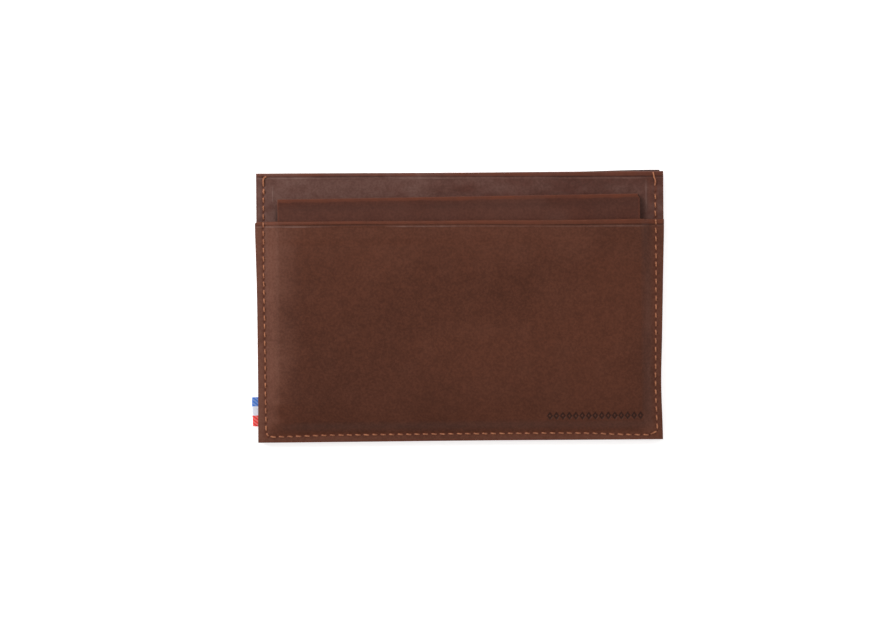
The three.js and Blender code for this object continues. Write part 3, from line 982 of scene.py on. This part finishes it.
def lining(name, node, grid, face):
    """A thin cloth lining, stuck to its leather panel, on the grid it is given."""
    mesh = closed_sheet(name, grid, face, body_shape, {})
    made = piece(name, mesh, "wallet", node, lining_cloth)


def flat_lining(name, node, seed):
    """A lining that fills its node's box but for a hair's breadth."""
    low, high = mm_box(node)
    gap = 0.02

    def face(x, y):
        sway = 0.015 * clouds(x, y, 7, seed)
        return high[2] - gap + sway, low[2] + gap + sway

    grid = np.meshgrid(lines((low[0], high[0], 1.5)), lines((low[1], high[1], 1.5)))
    lining(name, node, grid, face)


flat_lining("back_lining_cloth", "back_lining", 41)
flat_lining("divider_lining_cloth", "divider_lining", 42)
lining(
    "front_lining_cloth", "front_lining",
    np.meshgrid(
        lines((-SIDE + 0.4, -FLANK, 0.3), (-FLANK, FLANK, 2), (FLANK, SIDE - 0.4, 0.3)),
        lines((BOTTOM + 0.4, -30, 0.3), (-30, MOUTH - HEM - 2, 2)),
    ),
    front_lining_face,
)


def filler_grid():
    """The filler's U: along it from the top left, round the bottom, to the top right, and across it from
    its outer edge to its inner one."""
    def corner_points(inset):
        side, low, high = SIDE - inset, BOTTOM + inset, filler_high[1]
        return [(-side, high), (-side, low), (side, low), (side, high)]

    outer, inner = corner_points(0), corner_points(FILLER_WIDTH)
    along = lines((0, 1, 0.02), (1, 2, 0.02), (2, 3, 0.02))
    across = lines((0, 0.1, 0.02), (0.1, 1, 0.15))

    def corners(path, axis):
        return np.interp(along, range(4), [point[axis] for point in path])

    return tuple(
        (1 - across[:, None]) * corners(outer, axis) + across[:, None] * corners(inner, axis)
        for axis in (0, 1)
    )


def filler_face(x, y):
    """The filler's two faces, rough from skiving."""
    drop = round_off(edge_distance(x, y), EDGE_ROUND)
    rough = 0.012 * clouds(x, y, 1.3, 61)
    return filler_high[2] - 0.01 - drop + rough, filler_low[2] + 0.01 + drop + rough


def filler_shape(x, y):
    """The filler's cut edge is a little rough."""
    px, py = body_shape(x, y)
    inset = 0.05 + 0.03 * clouds(x, y, 0.9, 62)
    return px - np.sign(x) * inset, py + inset * (1 - smooth(BOTTOM, BOTTOM + 1, y))


filler = closed_sheet(
    "seam_filler_leather", filler_grid(), filler_face, filler_shape,
    {"worn": lambda x, y: 0.5 + 0.5 * clouds(x, y, 3, 63)},
)
piece("seam_filler_leather", filler, "wallet", "seam_filler", skived_leather)

front_stitches = twisted_threads("front_stitches", seam_stitches(seam_level, 1) + seam_ends())
piece("front_stitches", front_stitches, "wallet", "needle_thread", thread)

back_stitches = twisted_threads("back_stitches", seam_stitches(back_level, -1))
piece("back_stitches", back_stitches, "wallet", "bobbin_thread", thread)


def ribbon_mesh():
    """The folded ribbon: a strip that runs out of the seam, round its fold and back, with both of its
    faces modelled. Its lower part stands out of the seam a little less."""
    middle = (tab_low[2] + tab_high[2]) / 2
    outer = (tab_high[2] - tab_low[2]) / 2
    bend = outer - RIBBON_THICK / 2
    end = tab_high[0]
    fold = tab_low[0] + outer
    straight = end - fold
    arc = math.pi * bend
    steps_along, steps_across = 60, 57
    run = np.linspace(0, 2 * straight + arc, steps_along)
    across = np.linspace(tab_low[1], tab_high[1], steps_across)
    s, y = np.meshgrid(run, across)
    angle = np.clip((s - straight) / bend, 0, math.pi)
    x = np.where(
        s < straight,
        end - s,
        np.where(s > straight + arc, fold + s - straight - arc, fold - bend * np.sin(angle)),
    )
    z = middle + bend * np.cos(angle)
    nx, nz = -np.sin(angle), np.cos(angle)
    share = (y - tab_low[1]) / (tab_high[1] - tab_low[1])
    outside = 1 - smooth(fold, -SIDE + 0.6, x)
    x = x + 0.2 * (1 - smooth(0.2, 0.5, share)) * outside
    rib = 0.012 * np.sin(2 * math.pi * (s * 0.9 + y * 1.5) / 0.42)
    edge = RIBBON_THICK / 2 * np.sqrt(np.clip(1 - (np.abs(2 * share - 1)) ** 10, 0.02, 1))
    vertices = [
        np.stack([x + out * nx, y, z + out * nz], -1).reshape(-1, 3)
        for out in (edge + rib, 0.02 - edge)
    ]
    facing_out = shell_faces(s.shape)[:, ::-1]
    return mesh_of("ribbon", np.concatenate(vertices), facing_out.tolist())


piece("ribbon", ribbon_mesh(), "wallet", "ribbon_tab", ribbon)


# ---------------------------------------------------------------- the card sleeve

def leaf_grid():
    """Grid lines over a leaf: close at its cut edges and at its turned one."""
    half_w, half_h = LEAF_WIDTH / 2, LEAF_HEIGHT / 2
    xs = lines(
        (-half_w, -half_w + EDGE_BAND, EDGE_STEP),
        (-half_w + EDGE_BAND, -half_w + 1, 0.14),
        (-half_w + 1, half_w - 1, 0.45),
        (half_w - 1, half_w - EDGE_BAND, 0.14),
        (half_w - EDGE_BAND, half_w, EDGE_STEP),
    )
    ys = lines(
        (-half_h, -half_h + EDGE_BAND, EDGE_STEP),
        (-half_h + EDGE_BAND, half_h - 3, 0.45),
        (half_h - 3, half_h - 0.4, 0.15),
        (half_h - 0.4, half_h, 0.05),
    )
    return np.meshgrid(xs, ys)


for name, node, low, outward in (
    ("sleeve_front_leather", "sleeve_front_leaf", leaf_low[2], 1),
    ("sleeve_rear_leather", "sleeve_rear_leaf", rear_leaf_low[2], -1),
):
    leaf = closed_sheet(
        name, leaf_grid(), leaf_face(low, outward), leaf_shape,
        {"rub": leaf_rub, "dark": leaf_dark, "worn": leaf_worn},
    )
    piece(name, leaf, "sleeve", node, sleeve_leather)


# ---------------------------------------------------------------- studio

def studio_floor():
    """A wide pale floor that turns up into a backdrop far away. Its sizes are in metres."""
    n = Nodes("studio_floor")
    pale = n.mix(n.noise(400), (0.9, 0.9, 0.9, 1), (0.92, 0.92, 0.92, 1))
    material = n.finish(pale, 0.95, Specular_IOR_Level=0.0, Emission_Strength=0.6)
    n.shader.inputs["Emission Color"].default_value = (1, 1, 1, 1)
    level = -0.1 * MM
    radii = [0.6, 1.2, 1.8, 2.3, 2.7, 2.95, 3.0]
    heights = [0, 0, 0, 0.05, 0.2, 0.5, 0.95]
    steps = 48
    vertices, faces = [(0, 0, level)], []
    for radius, height in zip(radii, heights):
        for k in range(steps):
            turn = 2 * math.pi * k / steps
            vertices.append((radius * math.cos(turn), radius * math.sin(turn), height + level))
    for k in range(steps):
        faces.append((0, 1 + k, 1 + (k + 1) % steps))
    for ring in range(len(radii) - 1):
        for k in range(steps):
            i, j = 1 + ring * steps + k, 1 + ring * steps + (k + 1) % steps
            faces.append((i, i + steps, j + steps, j))
    mesh = bpy.data.meshes.new("studio_floor")
    mesh.from_pydata(vertices, [], faces)
    mesh.shade_smooth()
    mesh.materials.append(material)
    floor = bpy.data.objects.new("studio_floor", mesh)
    bpy.context.collection.objects.link(floor)


def softbox(name, place, size, power):
    """A soft white light that faces the wallet. Its place and size are in metres."""
    light = bpy.data.lights.new(name, "AREA")
    light.shape = "RECTANGLE"
    light.size, light.size_y = size
    light.energy = power
    lamp = bpy.data.objects.new(name, light)
    lamp.location = place
    lamp.rotation_euler = (-Vector(place)).to_track_quat("-Z", "Y").to_euler()
    bpy.context.collection.objects.link(lamp)


studio_floor()
softbox("key_left", (-0.44, 0.32, 0.52), (0.4, 0.4), 4.2)
softbox("fill_right", (0.85, 0.1, 0.8), (1.2, 1.2), 3)
softbox("fill_top", (0.0, 0.95, 1.1), (1.8, 1.2), 2.6)
softbox("fill_low", (0.1, -0.95, 0.8), (1.6, 1.0), 2.2)

world = bpy.data.worlds.new("studio")
world.use_nodes = True
world.node_tree.nodes["Background"].inputs["Color"].default_value = (1, 1, 1, 1)
world.node_tree.nodes["Background"].inputs["Strength"].default_value = 0.2
bpy.context.scene.world = world
bpy.context.scene.view_settings.view_transform = "Standard"
